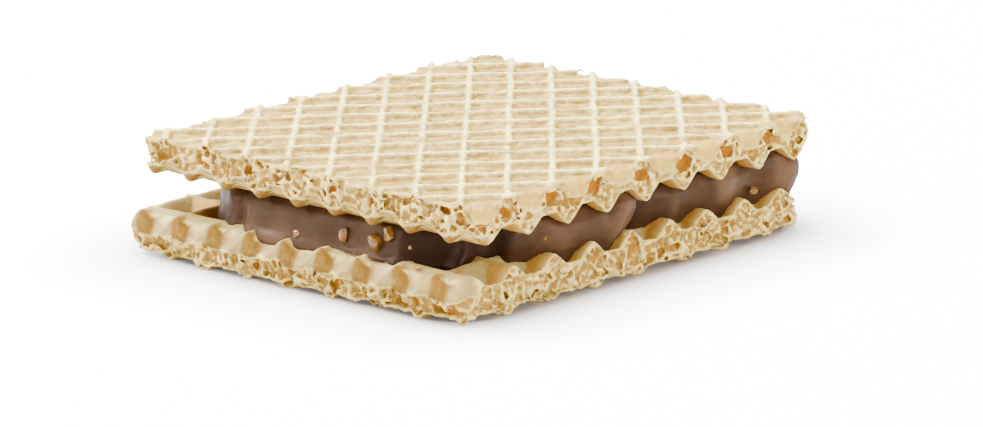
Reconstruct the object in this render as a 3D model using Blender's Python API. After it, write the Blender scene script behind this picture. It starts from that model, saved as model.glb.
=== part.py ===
"""Square wafer biscuit: two crisp grid-baked wafers with a chocolate filling that holds nut pieces.

Frame: metres, +Z up, resting on z = 0. The sides run along X and Y, and the corner that points at a
viewer in front is the one at (-X, -Y). Seen from there the walls at -X, -Y, +X and +Y are called near
left, near right, far right and far left. Each wafer has a shallow diagonal grid on its outer face and
deep square pits, parallel to its sides, on the face towards the filling. The upper wafer has slid a
little towards +X and -Y, and it rises towards +Y.
"""
import bpy
import bmesh
import math
import random
from mathutils import Matrix, Vector, noise

MM = 0.001

# The biscuit and its wafers
SIDE = 54.0 * MM
BOTTOM_THICKNESS = 5.3 * MM
TOP_THICKNESS = 4.85 * MM
CENTRE_HEIGHT = 13.8 * MM
TOP_TILT = math.radians(0.83)
SLIP = Vector((0.7, -0.6, 0.0)) * MM

# The grid on the outer faces, with the place of one ridge crossing from each wafer's centre
OUTER_PITCH = SIDE / 11
OUTER_CELLS = 18
OUTER_DEPTH = 0.75 * MM
OUTER_WALL = 0.9 * MM
BOTTOM_RIDGES = Vector((1.0, 0.6)) * MM
TOP_RIDGES = Vector((0.04, -1.77)) * MM
RIDGE_WEAR = 0.15 * MM

# The pits on the faces towards the filling, with the place of one crest crossing
INNER_PITCH = 6.1 * MM
INNER_CELLS = 11
INNER_DEPTH = 2.2 * MM
PIT_FLOOR = 2.0 * MM
BOTTOM_CRESTS = Vector((-0.3, 1.6)) * MM
TOP_CRESTS = Vector((-0.3, -1.5)) * MM
CREST_WEAR = 0.3 * MM

# Lengths broken off the corners, in the order of ragged_outline
BOTTOM_CORNERS = (0.8 * MM, 0.6 * MM, 2.5 * MM, 0.4 * MM)
TOP_CORNERS = (0.4 * MM, 3.7 * MM, 1.0 * MM, 0.8 * MM)

# The broken edges: crags in the outline and baked bubbles that the break has opened
CRAG_STEP = 1.7 * MM
CRAG_DEPTH = 0.45 * MM
PORE_SPACING = 7.1 * MM
PORE_RADIUS = (0.6 * MM, 0.95 * MM)
PORE_STAND_OFF = (0.15 * MM, 0.4 * MM)
PORE_HEIGHT = (0.28, 0.42)

# The filling's walls, and its lugs that reach into the pits
NEAR_LEFT = -25.4 * MM
NEAR_RIGHT = -26.2 * MM
FAR_RIGHT = 26.2 * MM
FAR_LEFT = 22.6 * MM
CONTACT_GAP = 0.35 * MM
LUG_DEPTH = 0.85 * INNER_DEPTH
FILLING_STEP = 2.8 * MM
FILLING_WAVE = 0.45 * MM

# Sizes of the unevenness from place to place
CREST_SIZE = 3.0 * MM
CRAG_SIZE = 4.0 * MM
RIDGE_SIZE = 5.0 * MM
HOLLOW_SIZE = 6.0 * MM
SEED_STEP = 7.3

# Cutting tools reach past the bodies, and a wafer's block reaches past its finished faces
PLATE_BACK = 2.0 * MM
OVERLAP = 0.3 * MM
WELD = 0.01 * MM

WAFER_COLOUR = (0.72, 0.53, 0.30, 1.0)
CHOCOLATE_COLOUR = (0.11, 0.055, 0.032, 1.0)


def clear_scene():
    for thing in list(bpy.data.objects):
        bpy.data.objects.remove(thing)


def new_collection(name):
    group = bpy.data.collections.new(name)
    bpy.context.scene.collection.children.link(group)
    return group


def make_material(name, colour, roughness):
    material = bpy.data.materials.new(name)
    material.use_nodes = True
    shader = material.node_tree.nodes["Principled BSDF"]
    shader.inputs["Base Color"].default_value = colour
    shader.inputs["Roughness"].default_value = roughness
    return material


def link_bmesh(name, shape, group):
    """New object from a bmesh, with its faces pointing out."""
    bmesh.ops.recalc_face_normals(shape, faces=shape.faces)
    mesh = bpy.data.meshes.new(name)
    shape.to_mesh(mesh)
    shape.free()
    thing = bpy.data.objects.new(name, mesh)
    group.objects.link(thing)
    return thing


def cut(body, name, shape, owner, cutters):
    """Take a shape, placed in its owner's frame, away from a body."""
    tool = link_bmesh(name, shape, cutters)
    tool.hide_render = True
    tool.display_type = "WIRE"
    tool.parent = owner
    step = body.modifiers.new(name, "BOOLEAN")
    step.operation = "DIFFERENCE"
    step.object = tool
    step.solver = "EXACT"


def weld(body):
    step = body.modifiers.new("weld", "WELD")
    step.merge_threshold = WELD


def wave(place, size, seed):
    """Smooth unevenness between about -1 and 1, the same for the same place and seed."""
    return noise.noise(Vector((place.x / size, place.y / size, seed * SEED_STEP)))


def ragged_outline(half, corner_cuts, seed):
    """Square outline, counter-clockwise, with cut corners and edges broken to crags.

    corner_cuts are the lengths cut from the sides at (-,-), (+,-), (+,+) and (-,+).
    """
    draw = random.Random(seed)
    signs = [(-1, -1), (1, -1), (1, 1), (-1, 1)]
    knots = []
    for (sx, sy), length in zip(signs, corner_cuts):
        along_x = Vector((sx * (half - length), sy * half))
        along_y = Vector((sx * half, sy * (half - length)))
        knots += [along_y, along_x] if sx == sy else [along_x, along_y]
    points = []
    for start, end in zip(knots, knots[1:] + knots[:1]):
        run = end - start
        outward = Vector((run.y, -run.x)).normalized()
        steps = max(1, round(run.length / CRAG_STEP))
        for i in range(steps):
            slide = draw.uniform(-0.25, 0.25) if i else 0.0
            place = start + run * (i + slide) / steps
            crag = wave(place, CRAG_SIZE, seed) + draw.uniform(-0.5, 0.5)
            points.append(place + outward * CRAG_DEPTH * crag)
    return points


def softened_outline(corners, step):
    """Evenly spaced points along a closed run of corners, with the corners rounded off."""
    points = []
    for start, end in zip(corners, corners[1:] + corners[:1]):
        steps = max(1, round((end - start).length / step))
        points += [start.lerp(end, i / steps) for i in range(steps)]
    neighbours = zip(points[-1:] + points[:-1], points, points[1:] + points[:1])
    return [(before + 2 * place + after) / 4 for before, place, after in neighbours]


def prism(name, outline, low, high, group):
    """Solid between two heights over a flat closed outline."""
    curve = bpy.data.curves.new(name, "CURVE")
    curve.dimensions = "2D"
    curve.fill_mode = "BOTH"
    curve.extrude = (high - low) / 2
    spline = curve.splines.new("POLY")
    spline.points.add(len(outline) - 1)
    for point, place in zip(spline.points, outline):
        point.co = (place.x, place.y, 0.0, 1.0)
    spline.use_cyclic_u = True
    flat = bpy.data.objects.new(name + "_outline", curve)
    group.objects.link(flat)
    evaluated = flat.evaluated_get(bpy.context.evaluated_depsgraph_get())
    shape = bmesh.new()
    shape.from_mesh(bpy.data.meshes.new_from_object(evaluated))
    bpy.data.objects.remove(flat)
    bmesh.ops.remove_doubles(shape, verts=shape.verts, dist=WELD)
    bmesh.ops.translate(shape, verts=shape.verts, vec=(0.0, 0.0, (low + high) / 2))
    return link_bmesh(name, shape, group)


def relief_plate(stations, cells, pitch, turn, phase, height, back, split="LONG_EDGE"):
    """One baking plate: a grid whose front follows height(), closed by a flat back.

    stations are the grid lines within one cell as parts of the pitch, turn is the grid's angle to
    the sides, and phase is the place of one ridge crossing. split is the diagonal that folds each
    face: the long one creases a pit into its corners, and the short one fills the corners.
    """
    per_cell = len(stations)
    segments = cells * per_cell
    spin = Matrix.Rotation(turn, 2)

    def grid_line(share):
        cell, station = divmod(round((share + 1) / 2 * segments), per_cell)
        return (cell - cells // 2 + stations[station]) * pitch, station

    plate = bmesh.new()
    bmesh.ops.create_grid(plate, x_segments=segments, y_segments=segments, size=1.0)
    for corner in plate.verts:
        a, station_a = grid_line(corner.co.x)
        b, station_b = grid_line(corner.co.y)
        place = spin @ Vector((a, b)) + phase
        corner.co = (place.x, place.y, height(place, station_a, station_b))
    bmesh.ops.triangulate(plate, faces=plate.faces, quad_method=split)
    backing = bmesh.ops.extrude_face_region(plate, geom=plate.faces[:])["geom"]
    for item in backing:
        if isinstance(item, bmesh.types.BMVert):
            item.co.z = back
    return plate


def outer_plate(phase, ridge_wear, seed):
    """Plate below a wafer: ridges on z = 0 round cells with sloping walls and flat floors."""
    wall = OUTER_WALL / OUTER_PITCH

    def height(place, station_a, station_b):
        if station_a and station_b:
            return OUTER_DEPTH * (1 + 0.3 * wave(place, RIDGE_SIZE, seed))
        return ridge_wear * max(0.0, wave(place, RIDGE_SIZE, seed))

    stations = (0.0, wall, 1 - wall)
    return relief_plate(stations, OUTER_CELLS, OUTER_PITCH, math.pi / 4, phase, height, -PLATE_BACK)


def inner_plate(thickness, phase, seed):
    """Plate above a wafer: worn crests at its full thickness and square pits with flat floors."""
    floor = 0.5 - PIT_FLOOR / INNER_PITCH / 2

    def height(place, station_a, station_b):
        if station_a and station_b:
            return thickness - INNER_DEPTH * (1 + 0.15 * wave(place, HOLLOW_SIZE, seed))
        return thickness - CREST_WEAR * abs(wave(place, CREST_SIZE, seed))

    stations = (0.0, floor, 1 - floor)
    back = thickness + PLATE_BACK
    return relief_plate(stations, INNER_CELLS, INNER_PITCH, 0.0, phase, height, back)


def contact_plate(thickness, phase):
    """Limit of the filling over a wafer: just clear of its crests, with lugs into its pits."""
    def height(place, station_a, station_b):
        lug = LUG_DEPTH if station_a and station_b else 0.0
        return thickness + CONTACT_GAP - lug

    return relief_plate((0.0, 0.5), INNER_CELLS, INNER_PITCH, 0.0, phase, height, 0.0, "SHORT_EDGE")


def edge_pores(thickness, seed):
    """Balls that open the baked bubbles along the four broken edges."""
    draw = random.Random(seed)
    balls = bmesh.new()
    count = int(SIDE / PORE_SPACING)
    for quarter in range(4):
        side = Matrix.Rotation(quarter * math.pi / 2, 4, "Z")
        for i in range(count):
            radius = draw.uniform(*PORE_RADIUS)
            along = (i + 0.5 + draw.uniform(-0.2, 0.2) - count / 2) * PORE_SPACING
            across = SIDE / 2 + draw.uniform(*PORE_STAND_OFF)
            centre = Vector((across, along, thickness * draw.uniform(*PORE_HEIGHT)))
            spin = Matrix.Rotation(draw.uniform(0, math.pi), 4, Vector((1, draw.random(), 1)))
            stretch = Matrix.Diagonal((1.0, draw.uniform(0.9, 1.5), draw.uniform(0.7, 1.0), 1.0))
            place = side @ Matrix.Translation(centre) @ stretch @ spin
            bmesh.ops.create_icosphere(balls, subdivisions=1, radius=radius, matrix=place)
    return balls


def make_wafer(name, thickness, corner_cuts, ridges, crests, ridge_wear, seed, parts, cutters):
    """One wafer with its outer face down on z = 0 and its pits opening upwards."""
    outline = ragged_outline(SIDE / 2, corner_cuts, seed)
    body = prism(name, outline, -OVERLAP, thickness + OVERLAP, parts)
    cut(body, name + "_outer_plate", outer_plate(ridges, ridge_wear, seed), body, cutters)
    cut(body, name + "_inner_plate", inner_plate(thickness, crests, seed), body, cutters)
    cut(body, name + "_pores", edge_pores(thickness, seed), body, cutters)
    weld(body)
    return body


def filling_shape(seed):
    """Chocolate between the wafers, as rings that follow one outline and swell or draw in by height.

    The near-left wall stands back from the edge and has a foot that has run out over the first
    crest. The other walls bulge. The near corner is cut back and the left corner is rounded.
    """
    left, near, right, far = NEAR_LEFT / MM, NEAR_RIGHT / MM, FAR_RIGHT / MM, FAR_LEFT / MM
    corners = [(left, -22.6), (-20.0, -22.6), (-18.4, -25.4), (-15.5, near), (right, near),
               (right, far), (-14.0, far), (-22.0, 19.0), (left, 12.0)]
    outline = softened_outline([Vector(corner) * MM for corner in corners], FILLING_STEP)
    # height, reach of the near-left wall, reach of the other walls
    profile = [(2.7, 0.6, -0.5), (5.0, 0.9, 0.1), (5.9, 0.1, 0.4), (7.6, 0.0, 0.4), (9.2, 0.2, 0.0),
               (12.2, 0.2, -1.0)]
    shape = bmesh.new()
    rings = []
    for height, foot, bulge in profile:
        ring = []
        neighbours = zip(outline[-1:] + outline[:-1], outline, outline[1:] + outline[:1])
        for before, place, after in neighbours:
            run = after - before
            outward = Vector((run.y, -run.x)).normalized()
            set_back = max(0.0, -outward.x) ** 2
            reach = (foot * set_back + bulge * (1 - set_back)) * MM
            reach += FILLING_WAVE * wave(place, HOLLOW_SIZE, seed)
            x, y = place + outward * reach
            ring.append(shape.verts.new((x, y, height * MM)))
        rings.append(ring)
    for lower, upper in zip(rings, rings[1:]):
        for i in range(len(outline)):
            j = (i + 1) % len(outline)
            shape.faces.new((lower[i], lower[j], upper[j], upper[i]))
    shape.faces.new(rings[0])
    shape.faces.new(rings[-1])
    return shape


def nut_piece(length, width, seed):
    """One chopped nut piece: a stretched ball with broken facets."""
    draw = random.Random(seed)
    piece = bmesh.new()
    bmesh.ops.create_icosphere(piece, subdivisions=1, radius=0.5)
    for corner in piece.verts:
        corner.co *= draw.uniform(0.82, 1.12)
        corner.co = Vector((corner.co.x * width, corner.co.y * length, corner.co.z * width))
    return piece


def add_nuts(filling):
    """Nut pieces that show in the walls, joined to the chocolate."""
    # For each wall: place along it, height, length and width, in millimetres
    near_left = [(1.4, 5.6, 1.2, 1.0), (-6.0, 6.7, 1.9, 1.3),
                 (-11.2, 6.9, 1.8, 1.7), (-13.0, 8.0, 1.4, 1.2)]
    near_right = [(-15.4, 7.2, 1.2, 1.0), (18.6, 5.5, 1.4, 1.1)]
    far_right = [(-9.0, 7.4, 1.8, 1.4), (3.0, 6.6, 1.5, 1.2), (12.5, 8.0, 1.7, 1.3)]
    far_left = [(14.0, 7.2, 1.7, 1.4), (1.5, 8.2, 1.5, 1.2), (-11.0, 6.8, 1.9, 1.5)]
    pieces = [((NEAR_LEFT, along * MM), 0.0, *rest) for along, *rest in near_left]
    pieces += [((along * MM, NEAR_RIGHT), math.pi / 2, *rest) for along, *rest in near_right]
    pieces += [((FAR_RIGHT, along * MM), 0.0, *rest) for along, *rest in far_right]
    pieces += [((along * MM, FAR_LEFT), math.pi / 2, *rest) for along, *rest in far_left]

    nuts = new_collection("nut_pieces")
    for seed, ((x, y), turn, height, length, width) in enumerate(pieces):
        nut = link_bmesh("nut_%d" % seed, nut_piece(length * MM, width * MM, seed), nuts)
        nut.location = (x, y, height * MM)
        nut.rotation_euler = (1.1 * seed, 0.3 * seed, turn)
    join = filling.modifiers.new("nuts", "BOOLEAN")
    join.operation = "UNION"
    join.operand_type = "COLLECTION"
    join.collection = nuts
    join.solver = "EXACT"
    evaluated = filling.evaluated_get(bpy.context.evaluated_depsgraph_get())
    filling.data = bpy.data.meshes.new_from_object(evaluated)
    filling.modifiers.clear()
    for nut in list(nuts.objects):
        bpy.data.objects.remove(nut)


def main():
    clear_scene()
    parts = new_collection("chocolate_wafer_biscuit")
    cutters = new_collection("cutters")
    baked = make_material("baked_wafer", WAFER_COLOUR, 0.75)
    chocolate = make_material("chocolate_filling", CHOCOLATE_COLOUR, 0.4)

    bottom = make_wafer("wafer_bottom", BOTTOM_THICKNESS, BOTTOM_CORNERS, BOTTOM_RIDGES, BOTTOM_CRESTS,
                        0.0, 3, parts, cutters)
    bottom.location = -SLIP
    top = make_wafer("wafer_top", TOP_THICKNESS, TOP_CORNERS, TOP_RIDGES, TOP_CRESTS,
                     RIDGE_WEAR, 8, parts, cutters)
    top.rotation_euler = (math.pi + TOP_TILT, 0.0, 0.0)
    top.location = SLIP + Vector((0.0, 0.0, CENTRE_HEIGHT))

    filling = link_bmesh("filling", filling_shape(5), parts)
    add_nuts(filling)
    cut(filling, "lower_contact", contact_plate(BOTTOM_THICKNESS, BOTTOM_CRESTS), bottom, cutters)
    cut(filling, "upper_contact", contact_plate(TOP_THICKNESS, TOP_CRESTS), top, cutters)
    weld(filling)

    for body, material in ((bottom, baked), (top, baked), (filling, chocolate)):
        body.data.materials.clear()
        body.data.materials.append(material)


main()
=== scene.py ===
import math
import bmesh
import bpy
import numpy as np
from mathutils import Matrix, Vector


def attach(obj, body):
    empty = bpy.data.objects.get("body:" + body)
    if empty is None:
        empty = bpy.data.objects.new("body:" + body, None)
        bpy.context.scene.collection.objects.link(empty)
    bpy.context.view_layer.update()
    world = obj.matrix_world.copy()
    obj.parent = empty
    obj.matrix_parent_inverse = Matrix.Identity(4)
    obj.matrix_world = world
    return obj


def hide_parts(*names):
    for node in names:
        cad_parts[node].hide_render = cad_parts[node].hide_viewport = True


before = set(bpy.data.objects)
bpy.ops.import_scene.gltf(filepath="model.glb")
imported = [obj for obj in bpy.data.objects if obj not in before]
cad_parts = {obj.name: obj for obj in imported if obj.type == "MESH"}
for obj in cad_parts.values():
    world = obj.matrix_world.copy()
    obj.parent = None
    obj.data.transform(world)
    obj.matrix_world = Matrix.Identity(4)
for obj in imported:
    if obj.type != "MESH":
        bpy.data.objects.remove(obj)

# A square wafer biscuit with a chocolate and nut filling. Each wafer is worked out as a solid on a fine
# grid, in its own frame: its outer face is down on z = 0 and its pits open upwards. The corner at
# (-X, -Y) of the whole biscuit faces the viewer, between the near-left and near-right sides. Sizes are
# in millimetres until a finished piece is scaled to metres.

MM = 0.001
GRID_STEP = 0.17
WAFER_FACES = 190000
FILLING_FACES = 120000

SIDE = 54.0
SLIP = Vector((0.7, -0.6, 0.0))
TOP_HEIGHT = 13.8
TOP_TILT = math.radians(0.83)

# Each wafer's own sizes. A ridge crossing and a crest crossing give the place of its two grids. The skin
# between the ridge ends is turned down over the top wafer's near-right edge, and the inner skin is rolled
# over the near-left side by the given height. The ledge is how far the bottom wafer swells out there, and
# viewer is the direction of its local Y in which the near corner lies.
WAFERS = {
    "bottom": dict(
        thickness=5.3, pit_depth=2.35, crest_round=0.45,
        ridges=(1.0, 0.6), crests=(-0.3, 1.6), corner_cuts=(0.8, 0.6, 2.5, 0.2),
        turned_edge=0.0, rolled=2.35, ledge=0.45, viewer=-1, seed=3,
        place=Matrix.Translation(-SLIP)),
    "top": dict(
        thickness=4.85, pit_depth=2.1, crest_round=0.4,
        ridges=(0.04, -1.77), crests=(-0.3, -1.5), corner_cuts=(0.2, 3.7, 0.9, 0.8),
        turned_edge=1.0, rolled=1.1, ledge=0.0, viewer=1, seed=8,
        place=Matrix.Translation(SLIP + Vector((0.0, 0.0, TOP_HEIGHT)))
        @ Matrix.Rotation(math.pi + TOP_TILT, 4, "X")),
}

# The ridges and cells of the outer face, and the crests and pits of the inner one
RIDGE_PITCH = SIDE / 11
RIDGE_HALF = 0.13
CELL_DEPTH = 0.58
CELL_WALL = 0.50
CREST_PITCH = 6.1
PIT_ROUND = 0.5

# The broken sides: the baked skin's thickness, how far it turns down, the bubbles of the foam between the
# skins and how deep the break opens them, how wide a band is worked out finely, and the grid's margin
SKIN = 0.26
TURN = 1.5
FOAM_CELL = 1.45
FOAM_WALL = 0.12
FOAM_REACH = 0.85
BROKEN_BAND = 4.0
GRID_MARGIN = 1.7

# Where the filling's four walls stand, and the box that its grid covers
NEAR_LEFT, NEAR_RIGHT, FAR_RIGHT, FAR_LEFT = -25.4, -26.2, 26.2, 22.6
FILLING_LOW = (-28.6, -28.6, 2.4)
FILLING_HIGH = (28.8, 25.8, 12.6)
# Heights and places of the walls at -X and -Y, which swell out between the wafers
LEFT_WALL = ((3.0, 4.0, 4.6, 5.2, 5.8, 6.6, 7.8, 8.5, 9.1, 12.0),
             (-26.0, -26.5, -26.6, -26.2, -25.7, -25.4, -25.2, -24.9, -24.0, -23.2))
RIGHT_WALL = ((3.0, 4.2, 5.2, 6.4, 7.8, 9.0, 9.8, 12.0),
              (-24.6, -25.0, -25.7, -26.2, -26.3, -25.8, -24.6, -24.0))
# Along the near-left wall, its groove. Along the near-right wall, the fold, where the painted light is
# brightest counted from the fold, and the length of a ripple
GROOVE = 11.2
FOLD = -0.6
PAINTED_LIGHT_AT = -2.4
RIPPLE = 9.4


# Unevenness

def scatter(i, j, k, seed):
    """One number between 0 and 1 for each grid point, the same every time."""
    h = (i * 374761393 + j * 668265263 + k * 1274126177 + seed * 362437) & 0xFFFFFFFF
    h = ((h ^ (h >> 13)) * 1103515245) & 0xFFFFFFFF
    return ((h ^ (h >> 16)) & 0xFFFF) / 65535.0


def lumps(x, y, z, size, seed):
    """Smooth unevenness between -1 and 1 with lumps of about the given size."""
    places = [np.asarray(a, float) / size for a in np.broadcast_arrays(x, y, z)]
    cells = [np.floor(a).astype(np.int64) for a in places]
    parts = [a - c for a, c in zip(places, cells)]
    parts = [t * t * (3 - 2 * t) for t in parts]
    total = 0.0
    for corner in range(8):
        steps = (corner & 1, corner >> 1 & 1, corner >> 2)
        weight = 1.0
        for t, s in zip(parts, steps):
            weight = weight * (t if s else 1 - t)
        total = total + weight * scatter(*(c + s for c, s in zip(cells, steps)), seed)
    return 2 * total - 1


def smooth_step(low, high, value):
    t = np.clip((value - low) / (high - low), 0, 1)
    return t * t * (3 - 2 * t)


def soft_max(a, b, blend):
    h = np.clip(0.5 + 0.5 * (a - b) / blend, 0, 1)
    return b + (a - b) * h + blend * h * (1 - h)


def soft_min(a, b, blend):
    return -soft_max(-a, -b, blend)


# The wafers

def to_line(value, phase, pitch):
    """Distance to the nearest of a row of evenly spaced lines."""
    t = (value - phase) / pitch
    return np.abs(t - np.round(t)) * pitch


def outer_height(wafer, x, y):
    """Height of the outer face: thin diagonal ridges on z = 0 round shallow cells."""
    px, py = wafer["ridges"]
    seed = wafer["seed"]
    wobble = 0.10 * lumps(x, y, 0, 3.0, seed + 11) + 0.05 * lumps(x, y, 0, 1.1, seed + 18)
    a = to_line((x + y) / math.sqrt(2) + wobble, (px + py) / math.sqrt(2), RIDGE_PITCH)
    b = to_line((y - x) / math.sqrt(2) + wobble, (py - px) / math.sqrt(2), RIDGE_PITCH)
    flare = wafer["turned_edge"] * smooth_step(2.4, 0.2, SIDE / 2 - y)
    half = RIDGE_HALF * (1 + 0.3 * lumps(x, y, 0, 2.2, seed + 12) + 1.2 * flare)
    from_ridge = soft_min(a, b, 0.35) - half
    floor = CELL_DEPTH * (1 + 0.16 * lumps(x, y, 0, 4.5, seed + 13))
    floor = floor + 0.06 * lumps(x, y, 0, 0.7, seed + 14) + 0.10 * lumps(x, y, 0, 1.7, seed + 15)
    wear = 0.30 * np.maximum(0, lumps(x, y, 0, 2.4, seed + 16) - 0.15) + 0.05 * lumps(x, y, 0, 0.8, seed + 17)
    return floor * smooth_step(0, CELL_WALL, from_ridge) + wear * (1 - smooth_step(0, 0.4, from_ridge))


def inner_height(wafer, x, y):
    """Height of the inner face: worn crests round square pits with rounded floors."""
    px, py = wafer["crests"]
    seed = wafer["seed"]
    shift = 0.12 * lumps(x, y, 0, 4.0, seed + 21)
    a = to_line(x + shift, px, CREST_PITCH)
    b = to_line(y - shift, py, CREST_PITCH)
    blunt = wafer["crest_round"]
    a = np.sqrt(a * a + blunt ** 2) - blunt
    b = np.sqrt(b * b + blunt ** 2) - blunt
    down = soft_min(a, b, 0.12)
    depth = wafer["pit_depth"] * (1 + 0.06 * lumps(x, y, 0, 6.0, seed + 22))
    down = soft_min(down, depth, PIT_ROUND)
    wear = 0.12 * lumps(x, y, 0, 3.0, seed + 23)
    return wafer["thickness"] - down + np.minimum(wear, 0.05) + 0.02 * lumps(x, y, 0, 0.9, seed + 24)


def outside_square(wafer, x, y):
    """Distance outside the wafer's outline, with its corners broken off; negative inside."""
    half = SIDE / 2
    d = soft_max(np.abs(x) - half, np.abs(y) - half, 0.5)
    signs = ((-1, -1), (1, -1), (1, 1), (-1, 1))
    for (sx, sy), length in zip(signs, wafer["corner_cuts"]):
        corner = (sx * x + sy * y - (2 * half - length)) / math.sqrt(2)
        d = soft_max(d, corner, 0.6)
    return d


def turned_down(wafer, x, y):
    """Where the outer skin turns down over the edge: along one side, between the ends of the ridges."""
    phase = sum(wafer["ridges"]) / math.sqrt(2)
    from_ridge = to_line((x + y) / math.sqrt(2), phase, RIDGE_PITCH)
    near_side = smooth_step(3.0, 1.0, SIDE / 2 - y) * smooth_step(25.0, 23.0, x)
    return wafer["turned_edge"] * smooth_step(0.7, 1.5, from_ridge) * near_side


def viewer_half(wafer, y):
    """Picks the half of each crossing ridge's end that faces the near corner."""
    offset = (y - wafer["crests"][1]) / CREST_PITCH
    offset = wafer["viewer"] * (offset - np.round(offset))
    return smooth_step(-0.01, 0.03, offset) * smooth_step(0.46, 0.36, offset)


def rolled_skin(wafer, x, y, z):
    """Where the inner skin is rolled down over the cut side at -X, in scallops."""
    scallops = 0.16 * lumps(x, y, 0, 1.7, wafer["seed"] + 61) + 0.2 * viewer_half(wafer, y)
    reach = wafer["rolled"] * (1 + scallops)
    return smooth_step(0.25, -0.25, wafer["thickness"] - z - reach) * smooth_step(23.0, 25.0, -x)


def foam(x, y, z, size, seed):
    """How far inside a baked bubble a point is: positive in the hollow, negative in its wall.

    The bubbles are rounded cells, pulled out of shape, with thin walls between them.
    """
    bend = 0.26 * size
    gx = (x + bend * lumps(x, y, z, size, seed + 3)) / size
    gy = (y + bend * lumps(x, y, z, size, seed + 4)) / size
    gz = (z + bend * lumps(x, y, z, size, seed + 5)) / (0.85 * size)
    i, j, k = (np.floor(a).astype(np.int64) for a in (gx, gy, gz))
    nearest = np.full(gx.shape, 9.0)
    second = nearest.copy()
    for di in (-1, 0, 1):
        for dj in (-1, 0, 1):
            for dk in (-1, 0, 1):
                ci, cj, ck = i + di, j + dj, k + dk
                dx = ci + 0.1 + 0.8 * scatter(ci, cj, ck, seed) - gx
                dy = cj + 0.1 + 0.8 * scatter(ci, cj, ck, seed + 1) - gy
                dz = ck + 0.1 + 0.8 * scatter(ci, cj, ck, seed + 2) - gz
                d = np.sqrt(dx * dx + dy * dy + dz * dz)
                second = np.minimum(second, np.maximum(nearest, d))
                nearest = np.minimum(nearest, d)
    in_wall = (second - nearest) * size * 0.6 - FOAM_WALL
    in_ball = (0.70 - nearest) * size
    return soft_min(in_wall, in_ball, 0.2)


def cut_bubbles(wafer):
    """Centres and radii of the bubbles opened at the cut sides.

    On the side with the turned edge a big one lies under the end of each ridge.
    """
    draw = np.random.default_rng(wafer["seed"])
    half = SIDE / 2
    bubbles = []
    for axis in (0, 1):
        for sign in (-1, 1):
            big = wafer["turned_edge"] * (axis == 1 and sign == 1)
            for k in range(-9, 10):
                along = sum(wafer["ridges"]) + k * RIDGE_PITCH * math.sqrt(2) - sign * half
                centre = [along + (1 - big) * draw.uniform(-2.0, 2.0)] * 2
                centre[axis] = sign * (half - draw.uniform(0.0, 0.3))
                radius = draw.uniform(0.9, 1.15) if big else draw.uniform(0.4, 0.8)
                if abs(centre[1 - axis]) < half - 1.0 and draw.random() < 0.6 + 0.4 * big:
                    bubbles.append((*centre, draw.uniform(1.6, 2.1), radius, draw.uniform(0.75, 1.3)))
    return bubbles


def in_cut_bubbles(wafer, x, y, z):
    """How far inside the nearest of the big bubbles a point is."""
    depth = np.full(x.shape, -9.0)
    uneven = 0.16 * lumps(x, y, z, 0.8, wafer["seed"] + 51)
    for bx, by, bz, radius, stretch in cut_bubbles(wafer):
        close = np.nonzero((np.abs(x - bx) < 1.8) & (np.abs(y - by) < 1.8))
        dx, dy, dz = x[close] - bx, y[close] - by, (z[close] - bz) / stretch
        inside = radius - np.sqrt(dx * dx + dy * dy + dz * dz) + uneven[close]
        depth[close] = np.maximum(depth[close], inside)
    return depth


def broken_edge(wafer, x, y, z, outer, inner, square):
    """Solid near the cut sides: a ragged break through thin skins and the open foam between them."""
    seed = wafer["seed"]
    turned = turned_down(wafer, x, y)
    rolled = rolled_skin(wafer, x, y, z)
    pitted = 0.6 * np.abs(lumps(x, y, z, 1.3, seed + 32)) + 0.16 * lumps(x, y, z, 0.6, seed + 33) - 0.2
    calm = (1 - 0.6 * turned) * (1 - 0.8 * rolled) * (0.35 + 0.65 * smooth_step(0.1, 0.9, inner - z))
    ledge_height = 0.62 * wafer["thickness"]
    ledge = wafer["ledge"] * np.exp(-((z - ledge_height) / 1.1) ** 2) * smooth_step(22, 25, -x)
    chipped = np.maximum(0, lumps(x, y, 0, 2.2, seed + 38)) * smooth_step(1.6, 0.3, z - outer)
    chipped = chipped * (1 - turned) * smooth_step(24.0, 20.0, np.minimum(x, y))
    side = square + calm * (0.34 * lumps(x, y, z, 2.6, seed + 31) + pitted) + 0.8 * chipped - 0.1 - ledge
    fine = smooth_step(-1.2, -0.2, square) * calm * 0.12 * lumps(x, y, z, 0.42, seed + 36)
    body = soft_max(outer - z + fine, side, 0.1 + 1.5 * turned)
    body = soft_max(body, z - inner + 0.5 * fine, 0.05 + 0.7 * rolled)
    skin = SKIN * (1 + 0.4 * lumps(x, y, z, 1.2, seed + 34))
    under_skin = np.minimum(z - outer - TURN * turned, inner - z - 2 * rolled) - skin
    open_part = 0.3 * lumps(x, y, z, 2.4, seed + 37)
    bubbles = foam(x, y, z, FOAM_CELL, seed + 40) + open_part
    reach = FOAM_REACH * (0.6 + 0.45 * lumps(x, y, z, 1.9, seed + 35))
    hollow = soft_min(soft_min(bubbles, under_skin, 0.15), side + reach, 0.35)
    hollow = np.maximum(hollow, in_cut_bubbles(wafer, x, y, z) - rolled) + 1.2 * fine
    return np.maximum(body, hollow)


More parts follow.
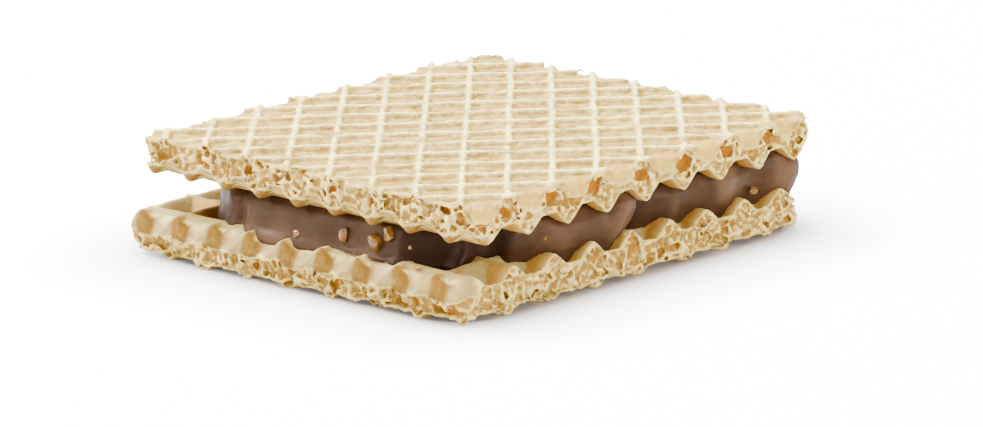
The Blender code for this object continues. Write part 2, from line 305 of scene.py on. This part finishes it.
def surface_net(field, origin, step):
    """Skin of the region where a field on a regular grid is negative, as points and quads."""
    inside = field < 0
    blocks = [inside[i:field.shape[0] - 1 + i, j:field.shape[1] - 1 + j, k:field.shape[2] - 1 + k]
              for i in (0, 1) for j in (0, 1) for k in (0, 1)]
    count = np.sum(blocks, axis=0, dtype=np.int8)
    cells = np.argwhere((count > 0) & (count < 8))
    corners = np.array([(i, j, k) for i in (0, 1) for j in (0, 1) for k in (0, 1)])
    values = np.stack([field[tuple((cells + c).T)] for c in corners], axis=1)
    total = np.zeros((len(cells), 3))
    hits = np.zeros(len(cells))
    for a in range(8):
        for b in range(a + 1, 8):
            if np.abs(corners[a] - corners[b]).sum() != 1:
                continue
            va, vb = values[:, a], values[:, b]
            crossed = (va < 0) != (vb < 0)
            share = np.where(crossed, va / np.where(crossed, va - vb, 1), 0)
            place = corners[a] + share[:, None] * (corners[b] - corners[a])
            total += place * crossed[:, None]
            hits += crossed
    points = (cells + total / hits[:, None]) * step + origin
    number = np.full(count.shape, -1, np.int64)
    number[tuple(cells.T)] = np.arange(len(cells))
    quads = []
    for axis in range(3):
        ahead = np.zeros(3, int)
        ahead[axis] = 1
        u, v = np.eye(3, dtype=int)[(axis + 1) % 3], np.eye(3, dtype=int)[(axis + 2) % 3]
        low = inside[1:-1, 1:-1, 1:-1]
        high = inside[1 + ahead[0]:field.shape[0] - 1 + ahead[0],
                      1 + ahead[1]:field.shape[1] - 1 + ahead[1],
                      1 + ahead[2]:field.shape[2] - 1 + ahead[2]]
        for first, faces_ahead in ((low & ~high, True), (~low & high, False)):
            edge = np.argwhere(first) + 1
            ring = [number[tuple((edge - s).T)] for s in (u * 0, u, u + v, v)]
            ring = ring if faces_ahead else ring[::-1]
            quads.append(np.stack(ring, axis=1))
    return points, np.concatenate(quads)


def closed(field):
    """The same field with its outermost layer set outside, so that the skin has no opening."""
    for axis in range(3):
        layers = np.moveaxis(field, axis, 0)
        layers[0] = 1
        layers[-1] = 1
    return field


def mesh_object(name, points, quads):
    mesh = bpy.data.meshes.new(name)
    mesh.vertices.add(len(points))
    mesh.vertices.foreach_set("co", points.astype(np.float32).ravel())
    mesh.loops.add(quads.size)
    mesh.loops.foreach_set("vertex_index", quads.astype(np.int32).ravel())
    mesh.polygons.add(len(quads))
    mesh.polygons.foreach_set("loop_start", np.arange(0, quads.size, 4, dtype=np.int32))
    mesh.update(calc_edges=True)
    mesh.validate()
    thing = bpy.data.objects.new(name, mesh)
    bpy.context.scene.collection.objects.link(thing)
    return thing


def thin_out(thing, faces):
    """Apply a decimation that leaves at most the given number of triangles."""
    triangles = sum(len(p.vertices) - 2 for p in thing.data.polygons)
    if triangles > faces:
        step = thing.modifiers.new("thin_out", "DECIMATE")
        step.ratio = faces / triangles
        evaluated = thing.evaluated_get(bpy.context.evaluated_depsgraph_get())
        mesh = bpy.data.meshes.new_from_object(evaluated)
        thing.modifiers.clear()
        thing.data = mesh
    thing.data.polygons.foreach_set("use_smooth", np.ones(len(thing.data.polygons), bool))


def vertex_values(thing, kind):
    """The places ("co") or normals ("normal") of a mesh's vertices, as three rows."""
    values = np.empty(len(thing.data.vertices) * 3, np.float32)
    thing.data.vertices.foreach_get(kind, values)
    return values.reshape(-1, 3).astype(float).T


def rounding(thing):
    """How far each vertex stands out from its neighbours, in parts of a grid step."""
    mesh = thing.data
    edges = np.empty(len(mesh.edges) * 2, np.int32)
    mesh.edges.foreach_get("vertices", edges)
    a, b = edges.reshape(-1, 2).T
    places = vertex_values(thing, "co").T
    normals = vertex_values(thing, "normal").T
    count = np.bincount(a, minlength=len(places)) + np.bincount(b, minlength=len(places))
    around = np.zeros_like(places)
    for axis in range(3):
        around[:, axis] = (np.bincount(a, places[b, axis], len(places))
                           + np.bincount(b, places[a, axis], len(places)))
    out = ((places - around / count[:, None]) * normals).sum(1) / GRID_STEP
    for _ in range(2):
        spread = np.bincount(a, out[b], len(places)) + np.bincount(b, out[a], len(places))
        out = 0.4 * out + 0.6 * spread / count
    return out


def write_mask(thing, name, values):
    mask = thing.data.attributes.new(name, "FLOAT", "POINT")
    mask.data.foreach_set("value", np.clip(values, 0, 1).astype(np.float32))


def wafer_solid(name, wafer):
    """One wafer in its own frame, in millimetres."""
    half = SIDE / 2 + GRID_MARGIN
    steps = int(2 * half / GRID_STEP)
    rows = np.linspace(-half, half, steps)
    step = rows[1] - rows[0]
    levels = np.arange(-2 * step, wafer["thickness"] + 3 * step, step)
    x, y = np.meshgrid(rows, rows, indexing="ij")
    outer = outer_height(wafer, x, y)
    inner = inner_height(wafer, x, y)
    square = outside_square(wafer, x, y)
    field = np.maximum(outer[..., None] - levels, levels - inner[..., None])
    field = np.maximum(field, square[..., None])
    pick = tuple(np.argwhere(square > -BROKEN_BAND).T)
    level_grid = np.broadcast_to(levels, (len(pick[0]), len(levels)))
    spread = [np.broadcast_to(a[pick][:, None], level_grid.shape) for a in (x, y, outer, inner, square)]
    field[pick] = broken_edge(wafer, spread[0], spread[1], level_grid, *spread[2:])
    points, quads = surface_net(closed(field), np.array([rows[0], rows[0], levels[0]]), step)
    thing = mesh_object(name, points, quads)
    thin_out(thing, WAFER_FACES)
    return thing


def write_wafer_masks(thing, wafer):
    """Masks for the crust's parts and the broken crumb, and for painted light: shade in its hollows, bubbles
    and some slopes, and highlights on its rims and edges.
    """
    x, y, z = vertex_values(thing, "co")
    along_x, along_y = np.abs(vertex_values(thing, "normal")[:2])
    outer = outer_height(wafer, x, y)
    inner = inner_height(wafer, x, y)
    square = outside_square(wafer, x, y)
    turned = turned_down(wafer, x, y)
    depth = np.minimum(z - outer - TURN * turned, inner - z)
    bend = rounding(thing)
    rolled = rolled_skin(wafer, x, y, z) * smooth_step(-1.4, -0.9, square)
    on_top = wafer["turned_edge"]

    bubble = smooth_step(-0.15, 0.05, in_cut_bubbles(wafer, x, y, z)) * (1 - rolled)
    on_turned_side = on_top * (y > SIDE / 2 - 4.0)
    write_mask(thing, "crumb", np.maximum(smooth_step(0.1, 0.32, depth) * (1 - rolled), bubble))
    # Hollow: painted warm shade deeper in from the broken side and in concave places, over the crumb's own
    # toasted tone
    write_mask(thing, "hollow", smooth_step(0.2, 1.2, -square) * 0.75 + smooth_step(0.02, -0.12, bend) * 0.5)
    # Painted warm shade in the opened bubbles, orange as light through their thin walls, strongest on the
    # turned side
    write_mask(thing, "painted_bubble_shade", bubble * (0.45 + 0.55 * on_turned_side))
    # Painted highlight on the crumb's convex rims, over their paler colour
    write_mask(thing, "pale_rim_highlight", smooth_step(0.03, 0.16, bend))

    lower_half = z < wafer["thickness"] / 2
    write_mask(thing, "ridge", 1 - smooth_step(0.06, 0.26, z))
    write_mask(thing, "turned", turned * smooth_step(0.3, 1.0, z) * lower_half)

    inside = smooth_step(-0.4, -0.1, z - inner)
    left_or_right = np.abs(x) > np.abs(y)
    # Painted shade: pit slopes facing along Y by the left and right sides, and the top wafer's underside near
    # its cut sides
    shaded_slope = inside * (1 - rolled) * left_or_right * smooth_step(0.35, 0.62, along_y)
    top_underside_shade = 0.5 * on_top * np.maximum(inside * left_or_right, rolled)
    write_mask(thing, "inner", np.maximum(inside, rolled) * (1 - 0.8 * on_top))
    write_mask(thing, "painted_flank_shade", shaded_slope + top_underside_shade)
    # Painted shade on the rolled skin: on the half of each ridge end that faces the near corner, and faintly
    # all along the top wafer's rolled edge
    write_mask(thing, "painted_patch_shade", rolled * (0.4 * on_top + (1 - 0.6 * on_top) * viewer_half(wafer, y)))
    # Painted warm shade, orange as light through the wafer, on the pit slopes facing along X by the
    # near-right and far-left sides
    write_mask(thing, "painted_warm_flank", inside * (1 - rolled) * ~left_or_right * smooth_step(0.35, 0.62, along_x))

    # Painted highlight along the middle of the rolled edge and along the skin's edge at the broken sides
    roll_edge = 4 * rolled * (1 - rolled)
    skin_edge = np.exp(-((depth - 0.1) / 0.1) ** 2) * smooth_step(-1.5, -0.6, square) * (1 - rolled)
    write_mask(thing, "painted_edge_highlight", np.maximum(0.8 * roll_edge, 0.55 * skin_edge))


def make_wafer(name, wafer, material):
    thing = wafer_solid(name, wafer)
    write_wafer_masks(thing, wafer)
    thing.data.transform(Matrix.Scale(MM, 4) @ wafer["place"])
    thing.data.materials.append(material)
    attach(thing, "root")
    return thing


# The filling

def lower_pits(x, y):
    """Height of the bottom wafer's inner face in the biscuit's own frame."""
    return inner_height(WAFERS["bottom"], x + SLIP.x, y + SLIP.y)


def upper_pits(x, y):
    """Height of the top wafer's inner face, turned over, in the biscuit's own frame."""
    local_y = SLIP.y - y
    return TOP_HEIGHT - inner_height(WAFERS["top"], x - SLIP.x, local_y) - math.sin(TOP_TILT) * local_y


def round_corner(a, b, radius):
    """Distance outside two walls that meet in a rounded corner."""
    beyond = np.hypot(np.maximum(a + radius, 0), np.maximum(b + radius, 0))
    return np.minimum(np.maximum(a, b), -radius) + beyond


def past_fold(x, z):
    """Distance along the near-right wall beyond the slanting fold in the chocolate."""
    return x - FOLD - 0.5 * (z - 6.5)


def fold_recess(x, z):
    """How far the near-right wall is set back beyond its fold, from 0 to 1."""
    along = past_fold(x, z)
    return smooth_step(-0.5, 0.5, along) * np.exp(-np.maximum(along - 0.5, 0) / 5.0)


def ripple(x):
    """The long ripple of the near-right wall, between -1 and 1."""
    return np.sin(2 * math.pi * (x + 1.5) / RIPPLE)


def filling_field(x, y, z, low, high):
    """Chocolate between the wafers, swelling at its sides and cut back at the near corner.

    The near-left wall stands on the first crest and spreads a foot over the crest's outer face.
    """
    sag = 0.26 * lumps(x, y, z, 5.5, 61) + 0.10 * lumps(x, y, z, 2.0, 62)
    groove = 0.45 * np.exp(-((y - GROOVE) / 0.7) ** 2) - 0.3 * np.exp(-((y - GROOVE - 2.0) / 1.2) ** 2)
    in_shade = 4.0 * smooth_step(-14.5, -19.0, y)
    left = np.interp(z, LEFT_WALL[0], LEFT_WALL[1]) - x - 1.3 * sag + groove + in_shade
    lobe = np.exp(-((past_fold(x, z) + 3.2) / 2.0) ** 2)
    wave = ripple(x) * smooth_step(2.0, 8.0, x)
    right = np.interp(z, RIGHT_WALL[0], RIGHT_WALL[1]) - y - 1.9 * sag
    right = right + 2.4 * fold_recess(x, z) - 1.1 * lobe + 0.6 * wave + 1.8 * smooth_step(-11.5, -17.0, x)
    bulge = 0.5 * np.exp(-((z - 6.9) / 1.9) ** 2)
    far_right = x - FAR_RIGHT - bulge - sag
    far_left = y - FAR_LEFT - bulge - sag
    notch = soft_min(-17.5 - x, -20.8 - y, 2.0) - 0.5 * sag
    d = round_corner(left, right, 1.2)
    d = soft_max(d, notch, 0.8)
    d = round_corner(d, far_right, 0.7)
    d = round_corner(d, far_left, 3.0)
    d = np.maximum(d, round_corner(left, far_left, 14.0))
    d = np.maximum(d, low - 0.12 - z)
    return np.maximum(d, z - high - 0.12)


def filling_solid():
    """The filling in the biscuit's own frame, in millimetres."""
    step = GRID_STEP * 1.1
    xs, ys, zs = (np.arange(low, high, step) for low, high in zip(FILLING_LOW, FILLING_HIGH))
    x, y = np.meshgrid(xs, ys, indexing="ij")
    low = lower_pits(x, y)
    high = upper_pits(x, y)
    field = np.maximum(low[..., None] - 0.15 - zs, zs - high[..., None] - 0.15)
    # The walls' own shape is worked out only close to them and in the corners that are cut or rounded
    wall = np.minimum(np.minimum(x - NEAR_LEFT, y - NEAR_RIGHT), np.minimum(FAR_RIGHT - x, FAR_LEFT - y))
    corner = np.minimum(np.maximum(x + 16, y + 19), np.maximum(x + 12, 10 - y))
    pick = tuple(np.argwhere(np.minimum(wall - 4, corner) < 0).T)
    level_grid = np.broadcast_to(zs, (len(pick[0]), len(zs)))
    spread = [np.broadcast_to(a[pick][:, None], level_grid.shape) for a in (x, y, low, high)]
    field[pick] = filling_field(spread[0], spread[1], level_grid, spread[2], spread[3])
    points, quads = surface_net(closed(field), np.array([xs[0], ys[0], zs[0]]), step)
    thing = mesh_object("chocolate_filling", points, quads)
    thin_out(thing, FILLING_FACES)
    return thing


def write_filling_masks(thing):
    """Masks for painted shade in the recesses, painted light on the swollen stretches and through the thin
    end at the right.
    """
    x, y, z = vertex_values(thing, "co")
    cut_back = smooth_step(-11.0, -15.0, y) * smooth_step(-15.0, -19.0, x)
    write_mask(thing, "in_shade", np.maximum(0.8 * cut_back, smooth_step(0.25, 0.85, fold_recess(x, z))))
    # Painted reddish light shining through the thin chocolate at the right end
    write_mask(thing, "painted_light_through_end", smooth_step(25.8, 26.6, x) * smooth_step(-21.5, -24.5, y))
    # Painted light on the swollen lobes of the near-right wall: beside the fold and on the ripple's bulges
    painted_lobe_light = np.exp(-((past_fold(x, z) - PAINTED_LIGHT_AT) / 1.6) ** 2)
    painted_lobe_light = painted_lobe_light + smooth_step(0.1, 0.9, -ripple(x)) * smooth_step(5.0, 9.0, x)
    write_mask(thing, "painted_lobe_light", painted_lobe_light * smooth_step(4.6, 6.4, z) * (y < -18.0))


def make_filling(material):
    thing = filling_solid()
    write_filling_masks(thing)
    thing.data.transform(Matrix.Scale(MM, 4))
    thing.data.materials.append(material)
    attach(thing, "root")
    return thing


# Wall, place along it and height of each nut piece, and its length along the wall, width and height
NUTS = (
    ("near_left", 1.4, 5.75, 1.3, 0.9, 1.0),
    ("near_left", -6.0, 6.75, 1.0, 0.9, 1.9),
    ("near_left", -11.2, 6.85, 1.8, 1.5, 1.8),
    ("near_left", -13.1, 7.9, 1.5, 1.2, 1.4),
    ("near_left", -16.6, 7.0, 0.5, 0.4, 0.4),
    ("near_right", -14.3, 7.2, 0.4, 0.6, 0.4),
    ("near_right", 19.5, 5.6, 0.8, 0.9, 0.9),
    ("far_right", -9.0, 7.4, 1.7, 1.2, 1.4),
    ("far_right", 3.0, 6.6, 1.4, 1.1, 1.2),
    ("far_right", 12.5, 8.0, 1.6, 1.2, 1.3),
    ("far_left", 14.0, 7.2, 1.6, 1.2, 1.4),
    ("far_left", 1.5, 8.2, 1.4, 1.1, 1.2),
    ("far_left", -11.0, 6.8, 1.8, 1.3, 1.5),
)
FAR_BULGE = 0.45
CRUMB_PLACE = (-26.2, -18.4, 5.3)
CRUMB_SIZE = (0.6, 1.0, 0.45)


def broken_lump(name, draw, size, place, material):
    """A small broken piece: a ball cut by random facets, stretched to its size."""
    shape = bmesh.new()
    bmesh.ops.create_icosphere(shape, subdivisions=4, radius=0.5)
    facets = [Vector(draw.normal(size=3)).normalized() for _ in range(9)]
    limits = draw.uniform(0.27, 0.38, size=9)
    for corner in shape.verts:
        for facet, limit in zip(facets, limits):
            past = corner.co.dot(facet) - limit
            if past > 0:
                corner.co -= facet * past
        corner.co = Vector([1.25 * c * length for c, length in zip(corner.co, size)])
    mesh = bpy.data.meshes.new(name)
    shape.to_mesh(mesh)
    shape.free()
    mesh.transform(Matrix.Scale(MM, 4) @ place)
    mesh.polygons.foreach_set("use_smooth", np.ones(len(mesh.polygons), bool))
    mesh.materials.append(material)
    piece = bpy.data.objects.new(name, mesh)
    bpy.context.scene.collection.objects.link(piece)
    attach(piece, "root")


def make_nuts(material):
    """Chopped nut pieces set in the filling's walls."""
    draw = np.random.default_rng(17)
    for number, (wall, along, height, length, width, tall) in enumerate(NUTS):
        flat = wall in ("near_left", "far_right")
        across = {"near_left": np.interp(height, *LEFT_WALL), "near_right": np.interp(height, *RIGHT_WALL),
                  "far_right": FAR_RIGHT + FAR_BULGE, "far_left": FAR_LEFT + FAR_BULGE}[wall]
        place = Vector((across, along, height)) if flat else Vector((along, across, height))
        turn = Matrix.Rotation(0.0 if flat else math.pi / 2, 4, "Z")
        size = (width, length, tall)
        broken_lump("nut_piece_%d" % number, draw, size, Matrix.Translation(place) @ turn, material)


def make_crumb(material):
    """The loose crumb on the filling's foot near the corner."""
    place = Matrix.Translation(CRUMB_PLACE)
    broken_lump("loose_crumb", np.random.default_rng(5), CRUMB_SIZE, place, material)


# Materials

def new_material(name):
    material = bpy.data.materials.new(name)
    material.use_nodes = True
    return material, material.node_tree, material.node_tree.nodes["Principled BSDF"]


def add(tree, kind, **settings):
    node = tree.nodes.new(kind)
    for key, value in settings.items():
        setattr(node, key, value)
    return node


def feed(tree, socket, value):
    """Give a socket its input: another node's output, or a plain value."""
    if isinstance(value, bpy.types.NodeSocket):
        tree.links.new(value, socket)
    else:
        socket.default_value = value


def mix_colour(tree, factor, a, b):
    node = add(tree, "ShaderNodeMix", data_type="RGBA")
    for number, value in ((0, factor), (6, a), (7, b)):
        feed(tree, node.inputs[number], value)
    return node.outputs[2]


def calculate(tree, operation, *values):
    node = add(tree, "ShaderNodeMath", operation=operation)
    for socket, value in zip(node.inputs, values):
        feed(tree, socket, value)
    return node.outputs[0]


def noise(tree, vector, lumps_a_metre, detail=3.0):
    node = add(tree, "ShaderNodeTexNoise")
    node.inputs["Scale"].default_value = lumps_a_metre
    node.inputs["Detail"].default_value = detail
    tree.links.new(vector, node.inputs["Vector"])
    return node.outputs["Fac"]


def ramp(tree, value, low, high, start=0.0):
    """A value stretched from the range low to high onto start to 1."""
    node = add(tree, "ShaderNodeMapRange")
    node.inputs["From Min"].default_value = low
    node.inputs["From Max"].default_value = high
    node.inputs["To Min"].default_value = start
    tree.links.new(value, node.inputs["Value"])
    return node.outputs["Result"]


def mask(tree, name):
    return add(tree, "ShaderNodeAttribute", attribute_name=name).outputs["Fac"]


def surface_grain():
    """Shared group: soft blotches as a value, and a fine grain as a normal."""
    group = bpy.data.node_groups.new("surface_grain", "ShaderNodeTree")
    for name, kind in (("Place", "NodeSocketVector"), ("Blotches", "NodeSocketFloat"),
                       ("Grain", "NodeSocketFloat"), ("Relief", "NodeSocketFloat")):
        group.interface.new_socket(name, in_out="INPUT", socket_type=kind)
    group.interface.new_socket("Blotch", in_out="OUTPUT", socket_type="NodeSocketFloat")
    group.interface.new_socket("Normal", in_out="OUTPUT", socket_type="NodeSocketVector")
    given = add(group, "NodeGroupInput")
    result = add(group, "NodeGroupOutput")
    blotches = add(group, "ShaderNodeTexNoise")
    blotches.inputs["Detail"].default_value = 3.0
    grain = add(group, "ShaderNodeTexNoise")
    grain.inputs["Detail"].default_value = 5.0
    bump = add(group, "ShaderNodeBump")
    bump.inputs["Strength"].default_value = 0.6
    group.links.new(given.outputs["Place"], blotches.inputs["Vector"])
    group.links.new(given.outputs["Place"], grain.inputs["Vector"])
    group.links.new(given.outputs["Blotches"], blotches.inputs["Scale"])
    group.links.new(given.outputs["Grain"], grain.inputs["Scale"])
    group.links.new(given.outputs["Relief"], bump.inputs["Distance"])
    group.links.new(grain.outputs["Fac"], bump.inputs["Height"])
    group.links.new(ramp(group, blotches.outputs["Fac"], 0.36, 0.64), result.inputs["Blotch"])
    group.links.new(bump.outputs["Normal"], result.inputs["Normal"])
    return group


def grainy(tree, shader, group, blotches, grain, relief):
    """Give a shader the shared grain, and return its place vector and its blotches."""
    node = add(tree, "ShaderNodeGroup", node_tree=group)
    place = add(tree, "ShaderNodeTexCoord").outputs["Object"]
    for name, value in (("Place", place), ("Blotches", blotches), ("Grain", grain), ("Relief", relief)):
        feed(tree, node.inputs[name], value)
    tree.links.new(node.outputs["Normal"], shader.inputs["Normal"])
    return place, node.outputs["Blotch"]


# The outer crust from dark to light, and its ridges
TAN = (0.235, 0.138, 0.014, 1.0)
PALE = (0.40, 0.27, 0.055, 1.0)
CREAM = (0.91, 0.78, 0.29, 1.0)
GOLD = (0.32, 0.155, 0.015, 1.0)
TURNED_SKIN = (0.56, 0.345, 0.060, 1.0)
# The inner crust: its flat parts; painted shade on its slopes by the left and right sides, and on parts of
# its rolled edge; and painted warm shade, orange as light through the wafer, on its slopes by the other two
# sides
INNER = (0.32, 0.235, 0.076, 1.0)
FLANK_SHADE = (0.22, 0.108, 0.013, 1.0)
PATCH_SHADE = (0.172, 0.084, 0.007, 1.0)
WARM_FLANK_SHADE = (0.47, 0.225, 0.030, 1.0)
# The broken crumb, painted warm shade in its hollows and bubbles, pale specks and painted highlights, dark
# specks
CRUMB_DARK = (0.28, 0.140, 0.016, 1.0)
CRUMB_PALE = (0.50, 0.330, 0.070, 1.0)
HOLLOW_SHADE = (0.31, 0.142, 0.010, 1.0)
BUBBLE_SHADE = (0.35, 0.126, 0.001, 1.0)
PALE_AND_HIGHLIGHT = (0.78, 0.60, 0.19, 1.0)
SPECK = (0.19, 0.075, 0.005, 1.0)

NUT_DARK = (0.11, 0.037, 0.004, 1.0)
NUT_LIGHT = (0.27, 0.122, 0.015, 1.0)

# Milk chocolate in blotches, with painted light on its lobes, painted shade in its recesses and painted
# reddish light through its thin end
CHOCOLATE_DARK = (0.037, 0.0160, 0.0065, 1.0)
CHOCOLATE_LIGHT = (0.071, 0.0335, 0.0145, 1.0)
CHOCOLATE_PAINTED_LIGHT = (0.095, 0.0480, 0.0240, 1.0)
CHOCOLATE_IN_SHADE = (0.014, 0.0055, 0.0020, 1.0)
CHOCOLATE_PAINTED_GLOW = (0.110, 0.030, 0.007, 1.0)


def crust_colour(tree, place, blotch, specks):
    """The unbroken crust, outside and inside, with painted shade on some inner slopes and ridge ends, and
    cream ridges that are worn in places.
    """
    mottle = ramp(tree, noise(tree, place, 900.0, 4.0), 0.47, 0.62)
    wear = ramp(tree, noise(tree, place, 620.0, 4.0), 0.36, 0.54, 0.5)
    crust = mix_colour(tree, blotch, TAN, PALE)
    crust = mix_colour(tree, mottle, crust, mix_colour(tree, 0.22, crust, CREAM))
    # Inner crust, painted shade on slopes and ridge ends, painted warm shade on other slopes, and the turned
    # skin
    for name, colour in (("inner", INNER), ("painted_flank_shade", FLANK_SHADE), ("painted_patch_shade", PATCH_SHADE), ("painted_warm_flank", WARM_FLANK_SHADE),
                         ("turned", TURNED_SKIN)):
        crust = mix_colour(tree, mask(tree, name), crust, colour)
    crust = mix_colour(tree, calculate(tree, "MULTIPLY", mask(tree, "ridge"), wear), crust, CREAM)
    return mix_colour(tree, specks, crust, mix_colour(tree, 0.45, crust, GOLD))


def crumb_colour(tree, place, blotch, specks):
    """The broken crumb: dark and bright specks, painted warm shade in hollows and bubbles, painted highlights
    on rims.
    """
    bright_specks = ramp(tree, noise(tree, place, 1700.0, 4.0), 0.54, 0.62)
    crumb = mix_colour(tree, blotch, CRUMB_DARK, CRUMB_PALE)
    crumb = mix_colour(tree, specks, crumb, mix_colour(tree, 0.75, crumb, SPECK))
    crumb = mix_colour(tree, bright_specks, crumb, PALE_AND_HIGHLIGHT)
    # Painted warm shade in the hollows and bubbles, and painted highlights on the rims
    for name, colour in (("hollow", HOLLOW_SHADE), ("painted_bubble_shade", BUBBLE_SHADE), ("pale_rim_highlight", PALE_AND_HIGHLIGHT)):
        crumb = mix_colour(tree, mask(tree, name), crumb, colour)
    return crumb


def baked_wafer(group):
    material, tree, shader = new_material("baked_wafer")
    relief = calculate(tree, "MULTIPLY_ADD", mask(tree, "crumb"), 0.35 * MM, 0.18 * MM)
    place, blotch = grainy(tree, shader, group, 520.0, 1700.0, relief)
    specks = ramp(tree, noise(tree, place, 2100.0), 0.48, 0.66)
    crust = crust_colour(tree, place, blotch, specks)
    crumb = crumb_colour(tree, place, blotch, specks)
    colour = mix_colour(tree, mask(tree, "crumb"), crust, crumb)
    # Painted highlight along the rolled edge and the skin's broken edge
    colour = mix_colour(tree, mask(tree, "painted_edge_highlight"), colour, PALE_AND_HIGHLIGHT)
    tree.links.new(colour, shader.inputs["Base Color"])
    shader.inputs["Roughness"].default_value = 0.7
    shader.inputs["Specular IOR Level"].default_value = 0.12
    shader.inputs["Subsurface Weight"].default_value = 0.15
    shader.inputs["Subsurface Radius"].default_value = (1.0, 0.5, 0.15)
    shader.inputs["Subsurface Scale"].default_value = 0.5 * MM
    return material


def roasted_nut(group):
    material, tree, shader = new_material("roasted_nut")
    _, blotch = grainy(tree, shader, group, 700.0, 2200.0, 0.1 * MM)
    tree.links.new(mix_colour(tree, blotch, NUT_DARK, NUT_LIGHT), shader.inputs["Base Color"])
    shader.inputs["Roughness"].default_value = 0.22
    shader.inputs["Specular IOR Level"].default_value = 0.6
    return material


def milk_chocolate(group):
    material, tree, shader = new_material("milk_chocolate")
    _, blotch = grainy(tree, shader, group, 180.0, 900.0, 0.08 * MM)
    colour = mix_colour(tree, blotch, CHOCOLATE_DARK, CHOCOLATE_LIGHT)
    # Painted light on the lobes, painted shade in the recesses, painted light through the thin end
    for name, other in (("painted_lobe_light", CHOCOLATE_PAINTED_LIGHT), ("in_shade", CHOCOLATE_IN_SHADE),
                        ("painted_light_through_end", CHOCOLATE_PAINTED_GLOW)):
        colour = mix_colour(tree, mask(tree, name), colour, other)
    tree.links.new(colour, shader.inputs["Base Color"])
    shader.inputs["Roughness"].default_value = 0.42
    shader.inputs["Specular IOR Level"].default_value = 0.12
    shader.inputs["Specular Tint"].default_value = (1.0, 0.80, 0.63, 1.0)
    return material


# The studio

PAPER = (0.60, 0.60, 0.60, 1.0)
# Painted warm shadow of the paper close round the biscuit
PAPER_SHADOW = (0.22, 0.15, 0.10, 1.0)


def make_floor():
    """White paper, with a painted warm shadow close round where the biscuit stands."""
    half = 1.5
    mesh = bpy.data.meshes.new("pale_floor")
    corners = [(-half, -half, 0.0), (half, -half, 0.0), (half, half, 0.0), (-half, half, 0.0)]
    mesh.from_pydata(corners, [], [(0, 1, 2, 3)])
    floor = bpy.data.objects.new("pale_floor", mesh)
    bpy.context.scene.collection.objects.link(floor)
    material, tree, shader = new_material("white_paper")
    # Distance from a smaller square below the biscuit, which has round corners
    distance = add(tree, "ShaderNodeTexCoord").outputs["Object"]
    for operation, amount in (("ABSOLUTE", 0.0), ("SUBTRACT", 20 * MM), ("MAXIMUM", 0.0), ("LENGTH", 0.0)):
        step = add(tree, "ShaderNodeVectorMath", operation=operation)
        step.inputs[1].default_value = (amount, amount, amount)
        tree.links.new(distance, step.inputs[0])
        distance = step.outputs["Value" if operation == "LENGTH" else "Vector"]
    # Painted contact shadow: the paper is warmer and darker close round the biscuit
    clear = ramp(tree, distance, 6.2 * MM, 12.5 * MM)
    tree.links.new(mix_colour(tree, clear, PAPER_SHADOW, PAPER), shader.inputs["Base Color"])
    # The paper glows for the camera only, and not close round the biscuit, so that its shadow shows
    away = ramp(tree, distance, 7 * MM, 24 * MM, 0.01)
    seen = add(tree, "ShaderNodeLightPath").outputs["Is Camera Ray"]
    glow = calculate(tree, "MULTIPLY", calculate(tree, "MULTIPLY", seen, away), 12.0)
    tree.links.new(glow, shader.inputs["Emission Strength"])
    shader.inputs["Emission Color"].default_value = (1.0, 1.0, 1.0, 1.0)
    shader.inputs["Roughness"].default_value = 0.9
    mesh.materials.append(material)


def make_light(name, place, size, power):
    """A soft square light aimed at the biscuit."""
    lamp = bpy.data.lights.new(name, "AREA")
    lamp.size = size
    lamp.energy = power
    thing = bpy.data.objects.new(name, lamp)
    thing.location = place
    thing.rotation_euler = (-Vector(place)).to_track_quat("-Z", "Y").to_euler()
    bpy.context.scene.collection.objects.link(thing)


CAMERA_PLACE = Vector((-341.49, -360.91, 126.81))
CAMERA_TURN = math.radians(-43.66)
CAMERA_RISE = math.radians(13.99)
CAMERA_ROLL = math.radians(-2.50)


def make_camera():
    lens = bpy.data.cameras.new("camera")
    lens.lens = 163.04
    lens.sensor_width = 36.0
    lens.clip_start = 0.01
    camera = bpy.data.objects.new("camera", lens)
    camera.matrix_world = (Matrix.Translation(CAMERA_PLACE * MM)
                           @ Matrix.Rotation(CAMERA_TURN, 4, "Z")
                           @ Matrix.Rotation(math.pi / 2 - CAMERA_RISE, 4, "X")
                           @ Matrix.Rotation(CAMERA_ROLL, 4, "Z"))
    bpy.context.scene.collection.objects.link(camera)
    bpy.context.scene.camera = camera


def make_studio():
    make_floor()
    make_camera()
    make_light("window", (-0.02, 0.60, 0.55), 0.35, 34.0)
    make_light("left_panel", (-0.50, 0.35, 0.22), 0.35, 3.0)
    make_light("front_panel", (0.02, -0.66, 0.22), 0.35, 7.0)
    make_light("ceiling", (-0.10, 0.0, 0.80), 0.7, 20.0)
    world = bpy.data.worlds.new("studio_air")
    world.use_nodes = True
    background = world.node_tree.nodes["Background"]
    background.inputs["Color"].default_value = (1.0, 1.0, 1.0, 1.0)
    background.inputs["Strength"].default_value = 0.8
    bpy.context.scene.world = world


def main():
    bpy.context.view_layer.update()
    grain = surface_grain()
    baked = baked_wafer(grain)
    make_studio()
    bottom = make_wafer("wafer_bottom_baked", WAFERS["bottom"], baked)
    top = make_wafer("wafer_top_baked", WAFERS["top"], baked)
    filling = make_filling(milk_chocolate(grain))
    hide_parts("wafer_bottom")
    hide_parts("wafer_top")
    make_nuts(roasted_nut(grain))
    make_crumb(baked)
    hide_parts("filling")


main()
